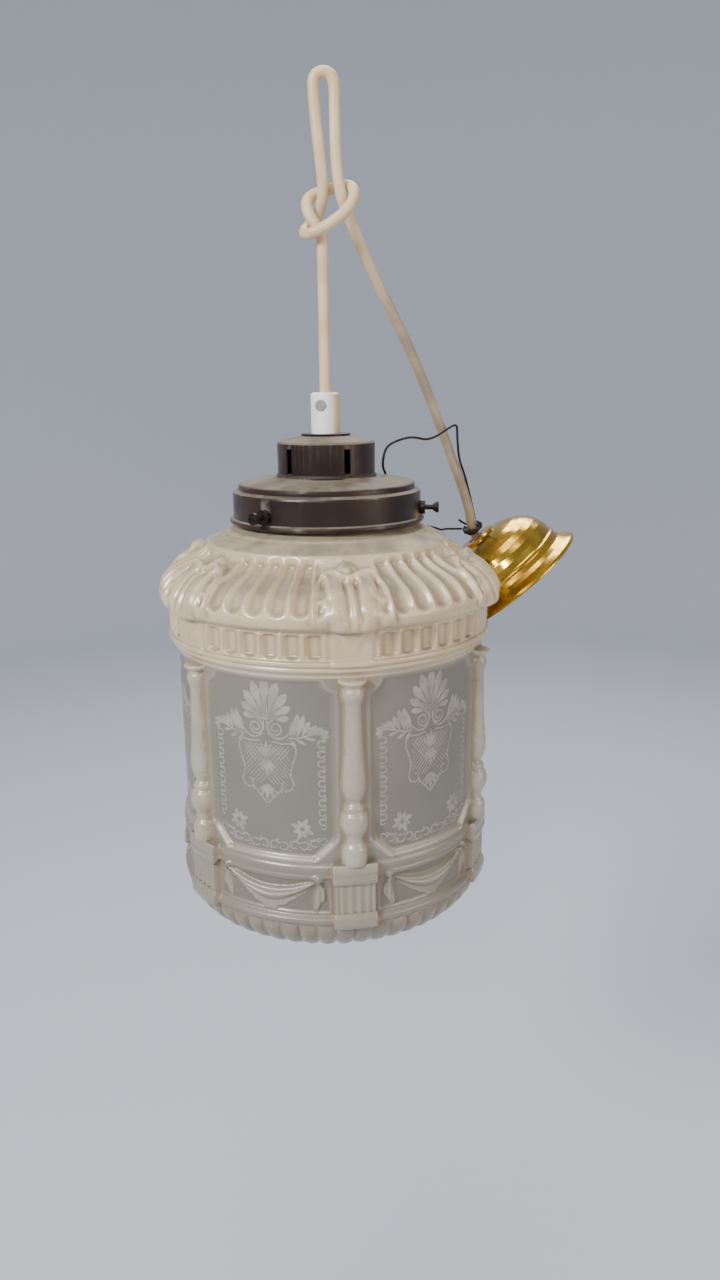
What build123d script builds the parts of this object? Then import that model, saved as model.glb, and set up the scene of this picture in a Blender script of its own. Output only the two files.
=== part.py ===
"""Pendant ceiling light: a moulded glass shade hung by its own flex, with a brass canopy tied beside it.

Millimetres. +Z is up, the lamp's axis is the Z axis, and the origin is the top of the hanging loop's
inside, where a hook carries the lamp. A column of the shade faces -Y.
"""

from build123d import *
from math import cos, pi, radians, sin, tan
import os

# ---- driving dimensions -------------------------------------------------------------------------
CORD_D = 6.0                     # round two-core flex
CORE_D = 2.2                     # one insulated core
WIRE_D = 1.2                     # iron tie wire
FRONT_TURN = -9.0                # the knot and the tie wires are laid out facing this way, degrees from -Y

SWING_Z = -82.0                  # under the knot, where the flex bends when the lamp swings
GRIP_TOP, GRIP_BOTTOM = -158.0, -180.5
GRIP_D = 16.3
GRIP_SCREW_AT = -27.0            # direction of the clamp screw, degrees from -Y towards +X
GRIP_SCREW_Z = -165.0
WASHER_D, WASHER_T = 28.0, 1.2

CUP_R, CUP_WALL = 27.8, 0.9      # ventilated cup
CUP_TOP, CUP_BOTTOM = -184.6, -204.4         # edge of the top, and the mouth
CUP_MIDDLE_R = 14.6              # the top rises from its edge to a flat middle under the washer
CUP_SLOTS, CUP_SLOT_W, CUP_SLOT_H, CUP_SLOT_AT = 5, 3.8, 13.6, -54.5

NIPPLE_R, NIPPLE_BORE_R = 5.0, 3.6           # M10 x 1 tube
NIPPLE_TOP, NIPPLE_BOTTOM = -171.0, -214.0
NUT_FLATS, NUT_T = 14.0, 3.0

GALLERY_WALL = 0.9
PLATE_R = 50.6                   # domed plate of the gallery
BAND_R = 53.9                    # band round the glass neck
BEAD_Z, BEAD_R = -228.2, 1.5
SCREW_Z = -222.1
SCREW_ANGLES = (-45.0, 75.0, 195.0)          # degrees from -Y towards +X
SHANK_R, TIP_AT, HEAD_AT = 1.5, 46.8, 61.2   # thumb screw, distances from the lamp's axis
BOSS_R, BOSS_T = 4.0, 2.6

HOLDER_TOP, HOLDER_JOIN, HOLDER_MOUTH = -205.5, -226.0, -266.0
HOLDER_R, HOLDER_WALL = 20.5, 3.0
SOCKET_R, SOCKET_WALL, SOCKET_LONG = 13.2, 0.5, 20.0     # E27 screw shell

GLASS_WALL = 4.0
NECK_R, NECK_BORE_R, LIP_R = 46.3, 42.3, 49.8
LIP_TOP, LIP_BOTTOM = -213.6, -220.0
BAYS = 6
COLUMN_AT = 90.5                 # column centres, from the lamp's axis
PANEL_R = 89.0

CANOPY_AT = (108.2, 66.9, -254.0)            # middle of the canopy's crown
CANOPY_AXIS = (0.624, -0.160, -0.766)        # from the crown out of its open mouth
CANOPY_R, CANOPY_DEEP = 51.0, 40.0
CANOPY_WALL, RIM_FLAT = 0.9, 3.0
COLLAR_R, COLLAR_T, COLLAR_BORE_R = 13.0, 1.6, 5.2

os.makedirs("parts", exist_ok=True)


# ---- helpers ------------------------------------------------------------------------------------
def save(name, shape):
    shape.label = name
    export_step(shape, f"parts/{name}.step")


def around(angle):
    """A turn about the lamp's axis that brings -Y to this angle, in degrees towards +X."""
    return Rot(0, 0, angle)


def front(across, back, up):
    """A point given as seen from the front: to the right, away from the viewer, and up."""
    turn = radians(FRONT_TURN)
    return (across * cos(turn) - back * sin(turn), across * sin(turn) + back * cos(turn), up)


def lathe(outline):
    """A closed outline of (radius, height) points turned about Z."""
    return revolve(Plane.XZ * make_face(Polyline(*outline, close=True)), Axis.Z)


def ring(outer, inner, top, bottom):
    """A tube or washer about Z."""
    return Pos(0, 0, (top + bottom) / 2) * (
        Cylinder(outer, top - bottom) - Cylinder(inner, top - bottom + 1)
    )


def arc_points(centre, radius, first, last, count):
    """Points on an arc in an outline, angles in degrees from the radius direction."""
    steps = [first + (last - first) * i / (count - 1) for i in range(count)]
    return [(centre[0] + radius * cos(radians(a)), centre[1] + radius * sin(radians(a))) for a in steps]


def sheet_outline(points, wall):
    """The outline of a sheet whose outer side follows points; the wall lies to their right hand."""
    inner = []
    for i, here in enumerate(points):
        before, after = points[max(i - 1, 0)], points[min(i + 1, len(points) - 1)]
        run = Vector(after[0] - before[0], after[1] - before[1]).normalized()
        inner.append((here[0] + run.Y * wall, here[1] - run.X * wall))
    return [*points, *reversed(inner)]


SECTORS = 8


def slices(shape, levels):
    """A hollow turned piece as touching solids: cut at these heights, and each ring into equal sectors."""
    half = pi / SECTORS
    solids = []
    for i in range(SECTORS):
        corners = [(300 * cos((2 * i + side) * half), 300 * sin((2 * i + side) * half)) for side in (-1, 1)]
        wedge = make_face(Polyline((0, 0), *corners, close=True))
        solids += [shape & extrude(Pos(0, 0, low) * wedge, high - low) for high, low in zip(levels, levels[1:])]
    return Compound(solids)


def bend_radii(points):
    """The largest arc that each corner's two runs allow: 0.45 of the shorter over tan(half the turn)."""
    radii = []
    for a, b, c in zip(points, points[1:], points[2:]):
        into, out = Vector(*b) - Vector(*a), Vector(*c) - Vector(*b)
        half_turn = radians(into.get_angle(out)) / 2
        radii.append(0.45 * min(into.length, out.length) / tan(half_turn))
    return radii


def centreline(points):
    """Straight runs joined by tangent arcs, and the arcs' radii."""
    if len(points) == 2:
        return Line(*points), []
    radii = bend_radii(points)
    return FilletPolyline(*points, radius=radii), radii


def tube(name, points, diameter):
    """A round cord or wire along a centreline; its volume is compared with its section."""
    path, radii = centreline(points)
    solid = sweep(Plane(path @ 0, z_dir=path % 0) * Circle(diameter / 2), path=path)
    ratio = solid.volume / (pi * diameter**2 / 4 * path.length)
    print(f"{name}: length {path.length:.1f}, volume / (section x length) {ratio:.4f},",
          "radii", [round(r, 1) for r in radii])
    return solid


# ---- flex ---------------------------------------------------------------------------------------
# The knot: up from the lamp, round behind both legs of the loop, across the front, round behind at the
# left and up as the loop's left leg; the right leg comes down through it and bows out to the canopy.
KNOT = [
    (0, 0, SWING_Z), (0, 0, -76.5), (-3.4, 0, -70.6), (-7.4, 0.8, -64.8), (-8.8, 4.6, -58.6),
    (-5.4, 9, -54.2), (1.4, 10.4, -52.3), (9.5, 9.2, -50), (16, 4.5, -50.5), (18.3, -1.5, -57),
    (13.5, -5.8, -64.8), (4, -7.8, -71.8), (-5.5, -6.7, -76.2), (-10.4, -0.5, -75), (-8, 6.9, -70.6),
    (-2, 8.9, -64.5),
    (0.6, 4.2, -57), (0.8, 0.6, -48.5), (-1.2, -0.2, -31), (-3.2, 0, -10), (-3.5, 0, 3),
    (7.9, 0, 3), (7.7, 0.1, -17), (8.1, 0, -42), (10.6, 0.8, -58), (15.2, 5.8, -67.3),
    (23, 13.6, -85.2), (53, 37.2, -140.4), (75.4, 59.8, -193.4), (91.2, 76.8, -233.2),
]
CROWN = Vector(*CANOPY_AT)
DOWN_CANOPY = Vector(*CANOPY_AXIS).normalized()
BEFORE_CROWN, PAST_CROWN = 4.0, 11.0         # last bend, and where the sheath ends inside
ENTRY = CROWN - DOWN_CANOPY * BEFORE_CROWN
SHEATH_END = CROWN + DOWN_CANOPY * PAST_CROWN
ROUTE = [front(*p) for p in KNOT] + [tuple(ENTRY), tuple(SHEATH_END)]
hanging_cord = tube("hanging_cord", ROUTE, CORD_D)

SHEATH_BOTTOM = -217.0
cord_drop = tube("cord_drop", [(0, 0, SHEATH_BOTTOM), (0, 0, SWING_Z)], CORD_D)


# ---- cord grip, washer, nipple ------------------------------------------------------------------
def cord_grip():
    """Ivory moulding: flex bore above, M10 seat below, a flat round the clamp screw's hole."""
    body = lathe([
        (CORD_D / 2 + 0.25, GRIP_TOP), (GRIP_D / 2 - 1.2, GRIP_TOP), (GRIP_D / 2, GRIP_TOP - 1.0),
        (GRIP_D / 2, GRIP_BOTTOM), (NIPPLE_R, GRIP_BOTTOM), (NIPPLE_R, NIPPLE_TOP),
        (CORD_D / 2 + 0.25, NIPPLE_TOP),
    ])
    hole = Pos(0, -GRIP_D / 2, GRIP_SCREW_Z) * Rot(90, 0, 0) * Cylinder(2.05, GRIP_D - 1)
    seat = Pos(0, -GRIP_D / 2, GRIP_SCREW_Z) * Rot(90, 0, 0) * Cylinder(3.15, 2.6)
    return body - around(GRIP_SCREW_AT) * (hole + seat)


def grip_screw():
    """Slotted clamp screw; its point rests on the flex and its head stands in the grip's seat."""
    tip, head = CORD_D / 2 + 0.1, GRIP_D / 2 + 0.6
    shank = Pos(0, -(tip + head - 1.4) / 2, 0) * Rot(90, 0, 0) * Cylinder(2.0, head - 1.4 - tip)
    cap = Pos(0, -(head - 0.7), 0) * Rot(90, 0, 0) * Cylinder(3.0, 1.4)
    slot = Pos(0, -head, 0) * Box(7, 1.4, 0.9)
    return around(GRIP_SCREW_AT) * Pos(0, 0, GRIP_SCREW_Z) * (shank + cap - Rot(0, 35, 0) * slot)


def nipple_nuts():
    """One nut under the cup's top, one on the plate inside the cup."""
    nut = extrude(RegularPolygon(NUT_FLATS / 2, 6, major_radius=False), NUT_T) - Cylinder(NIPPLE_R, 20)
    under_cup = GRIP_BOTTOM - WASHER_T - CUP_WALL - NUT_T
    return Compound([Pos(0, 0, under_cup) * nut, Pos(0, 0, CUP_BOTTOM) * Rot(0, 0, 20) * nut])


# ---- ventilated cup and gallery -----------------------------------------------------------------
def holder_cup():
    """Spun cup, mouth down, with a raised middle, a rolled foot and upright slots."""
    foot, middle = CUP_R + 0.9, GRIP_BOTTOM - WASHER_T
    shell = lathe([
        (NIPPLE_R, middle), (CUP_MIDDLE_R, middle), (CUP_R - 1.2, CUP_TOP), (CUP_R, CUP_TOP - 1.0),
        (CUP_R, CUP_BOTTOM + 2.2), (foot, CUP_BOTTOM + 0.9), (foot, CUP_BOTTOM),
        (CUP_R - CUP_WALL, CUP_BOTTOM), (CUP_R - CUP_WALL, CUP_TOP - CUP_WALL - 0.2),
        (CUP_MIDDLE_R, middle - CUP_WALL), (NIPPLE_R, middle - CUP_WALL),
    ])
    slot = Pos(0, -CUP_R, (CUP_TOP + CUP_BOTTOM) / 2 - 0.3) * Box(CUP_SLOT_W, 5, CUP_SLOT_H)
    for i in range(CUP_SLOTS):
        shell -= around(CUP_SLOT_AT + 360 / CUP_SLOTS * i) * slot
    return shell


def gallery():
    """One spinning, kept as the sectors of its plate and band: flat seat, domed plate, step, band, rolled
    bead, and vents under the cup."""
    outer = [
        (NIPPLE_R, CUP_BOTTOM), (31, CUP_BOTTOM), (40, -205.3), (47, -207.1),
        *arc_points((PLATE_R - 2.2, -209.6), 2.2, 75, 0, 5),
        (PLATE_R + 0.1, -211.0), (BAND_R - 1.3, -211.7), (BAND_R - 0.3, -212.2), (BAND_R, -213.2),
        (BAND_R, BEAD_Z + 1.8),
        *arc_points((BAND_R + 0.6, BEAD_Z), BEAD_R, 70, -100, 8),
    ]
    body = lathe(sheet_outline(outer, GALLERY_WALL))
    vent = Pos(0, -18, CUP_BOTTOM) * Cylinder(3.2, 4)
    hole = Pos(0, -BAND_R, SCREW_Z) * Rot(90, 0, 0) * Cylinder(SHANK_R + 0.1, 6)
    for i in range(6):
        body -= around(60 * i) * vent
    for angle in SCREW_ANGLES:
        body -= around(angle) * hole
    return slices(body, (-200, -212, -235))


def screw_bosses():
    """Three threaded bosses riveted on the band."""
    boss = Pos(0, -(BAND_R + 0.05 + BOSS_T / 2), 0) * Rot(90, 0, 0) * (
        Cylinder(BOSS_R, BOSS_T) - Cylinder(SHANK_R + 0.06, BOSS_T + 1)
    )
    hollow = Cylinder(BAND_R + 0.05, 40)
    return Compound([around(a) * Pos(0, 0, SCREW_Z) * (boss - hollow) for a in SCREW_ANGLES])


def thumb_screw(angle):
    """Knurled head with a cross slot, plain shank that ends under the glass lip."""
    shank = Pos(0, -(TIP_AT + HEAD_AT) / 2, 0) * Rot(90, 0, 0) * Cylinder(SHANK_R, HEAD_AT - TIP_AT)
    collar = Pos(0, -(HEAD_AT + 0.6), 0) * Rot(90, 0, 0) * Cylinder(2.4, 1.2)
    head = Pos(0, -(HEAD_AT + 2.2), 0) * Rot(90, 0, 0) * Cylinder(3.2, 2.0)
    slot = Pos(0, -(HEAD_AT + 3.2), 0) * Box(8, 1.2, 0.8)
    return around(angle) * Pos(0, 0, SCREW_Z) * (shank + collar + head - Rot(0, 25, 0) * slot)


# ---- lampholder ---------------------------------------------------------------------------------
def holder_cap():
    """Domed cap screwed on the nipple."""
    return lathe([
        (NIPPLE_R, HOLDER_TOP), (11, HOLDER_TOP), (16, HOLDER_TOP - 3), (19.2, HOLDER_TOP - 9),
        (HOLDER_R, HOLDER_JOIN + 5), (HOLDER_R, HOLDER_JOIN),
        (HOLDER_R - HOLDER_WALL, HOLDER_JOIN), (HOLDER_R - HOLDER_WALL, HOLDER_JOIN + 6),
        (14, HOLDER_TOP - 7), (8, HOLDER_TOP - 5), (NIPPLE_R, HOLDER_TOP - 5),
    ])


def holder_skirt():
    """Outer shell round the screw shell."""
    mouth_r = HOLDER_R - 1.5
    return lathe([
        (HOLDER_R, HOLDER_JOIN), (HOLDER_R, HOLDER_JOIN - 10), (mouth_r, HOLDER_JOIN - 12),
        (mouth_r, HOLDER_MOUTH + 1), (mouth_r - 0.8, HOLDER_MOUTH),
        (SOCKET_R + SOCKET_WALL + 0.6, HOLDER_MOUTH), (SOCKET_R + SOCKET_WALL + 0.6, HOLDER_JOIN - 15),
        (HOLDER_R - HOLDER_WALL, HOLDER_JOIN - 13), (HOLDER_R - HOLDER_WALL, HOLDER_JOIN),
    ])


INSERT_TOP, INSERT_BOTTOM = HOLDER_JOIN - 1.5, HOLDER_JOIN - 12.0
SHELL_TOP = INSERT_BOTTOM - 5.0
TERMINAL_X = 9.0


def holder_insert():
    """Porcelain disc that carries the contacts, with a hole for each terminal screw."""
    disc = Pos(0, 0, (INSERT_TOP + INSERT_BOTTOM) / 2) * Cylinder(16.8, INSERT_TOP - INSERT_BOTTOM)
    for x in (-TERMINAL_X, TERMINAL_X):
        disc -= Pos(x, 0, INSERT_TOP) * Cylinder(1.6, 14)
    return disc


def thread_shell():
    """Screw shell, plain inside, open to the bulb below."""
    return ring(SOCKET_R + SOCKET_WALL, SOCKET_R, SHELL_TOP, SHELL_TOP - SOCKET_LONG)


def centre_contact():
    """Sprung tongue under the insert."""
    foot = Pos(0, 4, INSERT_BOTTOM - 0.3) * Box(5, 6, 0.6)
    tongue = Pos(0, 0, INSERT_BOTTOM - 2.2) * Rot(18, 0, 0) * Box(5, 11, 0.6)
    return foot + Pos(0, 5.2, INSERT_BOTTOM - 0.6) * Box(5, 1.4, 1.2) + tongue


def side_contact():
    """Tab from the insert down beside the screw shell."""
    out = SOCKET_R + SOCKET_WALL + 0.3
    tab = Pos(0, -out, INSERT_BOTTOM - 4.5) * Box(3, 0.4, 9)
    return tab + Pos(0, -(out - 2.6), INSERT_BOTTOM - 0.3) * Box(3, 5.6, 0.6)


def holder_terminal_screws():
    """Two terminal screws with their heads up."""
    shank = Pos(0, 0, INSERT_TOP - 3) * Cylinder(1.5, 6)
    head = Pos(0, 0, INSERT_TOP + 0.8) * Cylinder(2.8, 1.6) - Pos(0, 0, INSERT_TOP + 1.6) * Box(6, 0.7, 1)
    return Compound([Pos(x, 0, 0) * (shank + head) for x in (-TERMINAL_X, TERMINAL_X)])


def holder_conductor(name, side):
    """A core from the end of the sheath to its terminal."""
    foot_z = INSERT_TOP + 2.9
    points = [(1.4 * side, 0, SHEATH_BOTTOM), (1.4 * side, 0, SHEATH_BOTTOM - 1.9),
              (3.8 * side, 0, foot_z + 0.6), (8.9 * side, 0, foot_z)]
    return tube(name, points, CORE_D)


# ---- glass shade --------------------------------------------------------------------------------
OUTER = [
    (LIP_R - 0.6, LIP_TOP), (LIP_R, LIP_TOP - 1.2), (LIP_R, LIP_BOTTOM), (NECK_R, LIP_BOTTOM - 0.3),
    (NECK_R, -227), (48, -229.6), (53.2, -232.4), (62, -236), (70, -240.2), (78, -245.6), (86, -252.2),
    (92.5, -259), (96.8, -264), (98.6, -268), (97.6, -271.3), (93.6, -273), (92.6, -274.5),
    (92.6, -288.4), (94.2, -289.8), (94.2, -291.2), (92, -292.6), (92.6, -294), (91, -295.8),
    (PANEL_R, -297.8), (PANEL_R, -401.5), (91.2, -403.6), (91.2, -408.6), (89.5, -410.6),
    (89.5, -432), (91.8, -433.6), (92.2, -436.2), (91, -438.6), (90.4, -442), (88.2, -448),
    (82.6, -454.2), (73, -460), (59, -464.6), (41, -467.6), (20, -469), (0, -469.4),
]
INNER = [
    (0, -465.4), (20, -465), (40, -463.6), (57, -460.8), (70, -456.6), (79, -451.2), (84, -445),
    (85.2, -438), (85, -410), (85, -297), (88, -288), (88.2, -274), (87.6, -266), (82, -257.6),
    (74, -250), (65, -243.2), (54, -237.2), (46, -233), (NECK_BORE_R, -229.5),
    (NECK_BORE_R, LIP_TOP),
]
BALUSTER = [
    (6.9, -296), (6.9, -300.6), (4.6, -303.4), (5.4, -306.6), (5.4, -309.6), (4.5, -312), (4.7, -326),
    (6.2, -357.4), (3.6, -364.8), (5.2, -368.4), (7.2, -374), (7.2, -380.4), (4.4, -386.6),
    (6.4, -391), (6.6, -404),
]
CONSOLE_W, BLOCK_W, PEDESTAL_W = 21.0, 22.0, 22.6


def console():
    """Scrolled bracket over a column, standing out of the shoulder."""
    side = Plane.YZ * make_face(Polyline(
        (-88, -251), (-93.5, -252.4), (-98.4, -258.6), (-99.6, -266), (-98.8, -272.4), (-92, -274),
        (-88, -268), close=True))
    return extrude(side, CONSOLE_W / 2, both=True)


def bay_relief():
    """Everything that stands out of the wall at one column."""
    baluster = Pos(0, -COLUMN_AT, 0) * lathe([(0, BALUSTER[0][1]), *BALUSTER, (0, BALUSTER[-1][1])])
    block = Pos(0, -91.7, -283) * Box(BLOCK_W, 10, 20)
    pedestal = Pos(0, -90.6, -421.3) * Box(PEDESTAL_W, 8.4, 33.8)
    return baluster + block + pedestal + console()


# The glass is one moulding. It is kept as rings of sectors, cut under the lip, under the neck, at the
# cornice and above the underside, so that the screws' groove and the room for the bulb stay open.
GLASS_LEVELS = (-200, LIP_BOTTOM - 0.3, -227.5, -268, -436, -500)


def glass_shade():
    keep_out = Pos(0, 0, -350) * Cylinder(PANEL_R - GLASS_WALL / 2, 300)
    relief = bay_relief() - keep_out
    shell = lathe([*OUTER, *INNER])
    whole = shell.fuse(*[around(360 / BAYS * i) * relief for i in range(BAYS)])
    return slices(whole, GLASS_LEVELS)


# ---- canopy -------------------------------------------------------------------------------------
def on_canopy(shape):
    """Puts a shape drawn mouth down about Z, crown at the origin, where the canopy hangs."""
    mouth_up = Plane(origin=CANOPY_AT, x_dir=(0.766, 0, 0.624), z_dir=tuple(-DOWN_CANOPY))
    return mouth_up.location * shape


def canopy_outline():
    """Dome, ring and flared sheet with a solid rim, as (radius, height) with the crown at 0."""
    dome = [(COLLAR_R - 0.4 + 29 * sin(radians(a)), -COLLAR_T - 24 * (1 - cos(radians(a))))
            for a in range(0, 91, 10)]
    bead = arc_points((41.7, -27.4), 1.3, 75, -75, 5)
    flare = [(42.3, -29.4), (43.4, -31.8), (45.6, -34.2), (48.4, -35.8), (50.3, -37.2)]
    rim = arc_points((CANOPY_R - 1.2, 1.2 - CANOPY_DEEP), 1.2, 40, -90, 5)
    sheet = [(COLLAR_BORE_R, -COLLAR_T), *dome, *bead, *flare]
    inner = sheet_outline(sheet, CANOPY_WALL)[len(sheet):]
    return [*sheet, *rim, (CANOPY_R - RIM_FLAT, -CANOPY_DEEP), *inner]


CANOPY_LEVELS = (1, -14.0, -28.6, -50)       # the dome's upper and lower half, and the flare with its rim


def canopy_dome():
    return slices(lathe(canopy_outline()), CANOPY_LEVELS)


def canopy_collar():
    return ring(COLLAR_R, COLLAR_BORE_R, 0, -COLLAR_T)


BLOCK_TOP, BLOCK_LONG, BLOCK_WIDE, BLOCK_DEEP = -19.0, 17.0, 15.0, 9.0
POLE_X = 3.7


def terminal_block():
    """Two-pole connector; the cores go in at the top and each pole has two screws."""
    body = Pos(0, 0, BLOCK_TOP - BLOCK_LONG / 2) * Box(BLOCK_WIDE, BLOCK_DEEP, BLOCK_LONG)
    for x in (-POLE_X, POLE_X):
        body -= Pos(x, 0, BLOCK_TOP - BLOCK_LONG / 2) * Cylinder(1.6, BLOCK_LONG + 1)
        for z in (-4.5, -12.5):
            body -= Pos(x, BLOCK_DEEP / 2, BLOCK_TOP + z) * Rot(90, 0, 0) * Cylinder(1.6, BLOCK_DEEP)
    return body


def terminal_block_screws():
    screw = Rot(90, 0, 0) * Cylinder(1.5, 2.6) - Pos(0, 1.3, 0) * Box(4, 0.8, 0.6)
    return Compound([Pos(x, BLOCK_DEEP / 2 - 1.5, BLOCK_TOP + z) * screw
                     for x in (-POLE_X, POLE_X) for z in (-4.5, -12.5)])


def canopy_conductor(name, side):
    """A core from the end of the sheath into the block."""
    points = [(1.4 * side, 0, -PAST_CROWN), (1.4 * side, 0, -PAST_CROWN - 2.6),
              (POLE_X * side, 0, BLOCK_TOP + 2.2), (POLE_X * side, 0, BLOCK_TOP - 2.6)]
    return on_canopy(tube(name, points, CORE_D))


# ---- tie wire -----------------------------------------------------------------------------------
UPPER_WIRE = [
    (34, 2.4, -203.7), (32.2, -0.4, -200.6), (32.5, 0.2, -194.6), (34.2, 2.3, -189.2), (37.8, 6.8, -186.6),
    (43.9, 14.4, -184.9), (49.6, 21.4, -184.2), (54.6, 27.2, -185.2), (59.6, 33, -186.6),
    (66.3, 40.6, -184.9), (71.2, 46.2, -182.2), (77.6, 52.4, -178.7), (79.9, 54, -179.2),
    (80.2, 54.6, -184.3), (80.6, 55.2, -190.5), (82, 57.8, -200.6), (86.3, 68.4, -209.4),
    (91.4, 76.4, -225), (95.8, 83.8, -241.6),
]
LOWER_WIRE = [
    (-20.8, 54.6, -220.6), (-23.6, 53.6, -219), (-26.6, 51.9, -221.2), (-24.9, 52.6, -225.2),
    (-18.7, 55.6, -227.6), (0, 60.2, -230.6), (33, 57, -233.2), (50, 53.4, -238.2), (61.6, 48, -241),
    (66.9, 54, -242.8), (71.4, 60, -245.3), (74.5, 64, -245), (80.9, 72, -246.3), (86.2, 78.4, -247.2),
]
TIGHT_TURN_R, LOOSE_TURN_R = 3.72, 5.7       # the two tight turns, and the loose one that the ends hook into


def winding(before_crown, radius):
    """One turn of wire round the flex, this far up its centreline from the canopy's crown."""
    path, _ = centreline(ROUTE)
    share = 1 - (before_crown + PAST_CROWN) / path.length
    return Plane(origin=path @ share, z_dir=path % share).location * Torus(radius, WIRE_D / 2)


def tie_wire_windings():
    return Compound([winding(3.5, TIGHT_TURN_R), winding(4.9, TIGHT_TURN_R), winding(6.6, LOOSE_TURN_R)])


# ---- write every piece --------------------------------------------------------------------------
save("hanging_cord", hanging_cord)
save("cord_drop", cord_drop)
save("cord_grip", cord_grip())
save("grip_screw", grip_screw())
save("top_washer", ring(WASHER_D / 2, NIPPLE_R, GRIP_BOTTOM, GRIP_BOTTOM - WASHER_T))
save("nipple", ring(NIPPLE_R, NIPPLE_BORE_R, NIPPLE_TOP, NIPPLE_BOTTOM))
save("nipple_nuts", nipple_nuts())
save("holder_cup", holder_cup())
save("gallery", gallery())
save("screw_bosses", screw_bosses())
for number, screw_angle in enumerate(SCREW_ANGLES, 1):
    save(f"thumb_screw_{number}", thumb_screw(screw_angle))
save("holder_cap", holder_cap())
save("holder_skirt", holder_skirt())
save("holder_insert", holder_insert())
save("thread_shell", thread_shell())
save("centre_contact", centre_contact())
save("side_contact", side_contact())
save("holder_terminal_screws", holder_terminal_screws())
save("holder_conductor_live", holder_conductor("holder_conductor_live", 1))
save("holder_conductor_neutral", holder_conductor("holder_conductor_neutral", -1))
save("glass_shade", glass_shade())
save("canopy_dome", on_canopy(canopy_dome()))
save("canopy_collar", on_canopy(canopy_collar()))
save("terminal_block", on_canopy(terminal_block()))
save("terminal_block_screws", on_canopy(terminal_block_screws()))
save("canopy_conductor_live", canopy_conductor("canopy_conductor_live", 1))
save("canopy_conductor_neutral", canopy_conductor("canopy_conductor_neutral", -1))
save("tie_wire_upper", tube("tie_wire_upper", [front(*p) for p in UPPER_WIRE], WIRE_D))
save("tie_wire_lower", tube("tie_wire_lower", [front(*p) for p in LOWER_WIRE], WIRE_D))
save("tie_wire_windings", tie_wire_windings())
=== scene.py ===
"""Looks of the pendant light: pearl glass, dark bronze gallery, ivory grip, cream flex and brass canopy.

Drawn in millimetres in the shared frame and scaled to metres as each mesh is made.
"""

from math import cos, log, pi, radians, sin, sqrt

import bpy
import bmesh
import numpy as np
from mathutils import Matrix, Vector


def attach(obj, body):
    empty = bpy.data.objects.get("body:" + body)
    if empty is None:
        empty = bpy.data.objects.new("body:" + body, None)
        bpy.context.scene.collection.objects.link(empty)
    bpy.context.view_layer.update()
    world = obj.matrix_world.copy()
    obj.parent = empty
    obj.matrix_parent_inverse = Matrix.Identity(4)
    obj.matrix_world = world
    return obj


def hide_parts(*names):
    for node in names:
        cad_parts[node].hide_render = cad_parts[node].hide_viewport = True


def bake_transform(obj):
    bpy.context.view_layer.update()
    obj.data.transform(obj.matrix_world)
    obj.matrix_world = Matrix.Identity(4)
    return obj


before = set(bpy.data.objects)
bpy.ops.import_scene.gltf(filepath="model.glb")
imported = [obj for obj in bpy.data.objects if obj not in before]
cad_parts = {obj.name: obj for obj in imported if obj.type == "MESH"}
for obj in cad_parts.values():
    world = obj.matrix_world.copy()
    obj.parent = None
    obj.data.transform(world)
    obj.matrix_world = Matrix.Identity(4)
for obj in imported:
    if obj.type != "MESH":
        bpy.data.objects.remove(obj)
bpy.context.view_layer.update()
MM = 0.001
TURN = radians(-9.0)


def front(across, back, up):
    """A point given as seen from the front: to the right, away from the viewer, and up."""
    return (across * cos(TURN) - back * sin(TURN), across * sin(TURN) + back * cos(TURN), up)


# ---- camera -------------------------------------------------------------------------------------
def make_camera():
    pitch, roll = radians(14.9), radians(0.59)
    ahead, right, up = Vector(front(0, 1, 0)), Vector(front(1, 0, 0)), Vector((0, 0, 1))
    forward = ahead * cos(pitch) - up * sin(pitch)
    lift = ahead * sin(pitch) + up * cos(pitch)
    x = right * cos(roll) - lift * sin(roll)
    y = right * sin(roll) + lift * cos(roll)
    data = bpy.data.cameras.new("camera")
    data.sensor_fit, data.sensor_height, data.lens = "VERTICAL", 36, 27
    data.clip_start, data.clip_end = 0.01, 50
    camera = bpy.data.objects.new("camera", data)
    bpy.context.scene.collection.objects.link(camera)
    turn = Matrix((x, y, -forward)).transposed().to_4x4()
    eye = Vector(front(18.2, -557, -154))
    camera.matrix_world = Matrix.Translation(eye * MM) @ turn
    bpy.context.scene.camera = camera


make_camera()


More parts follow.
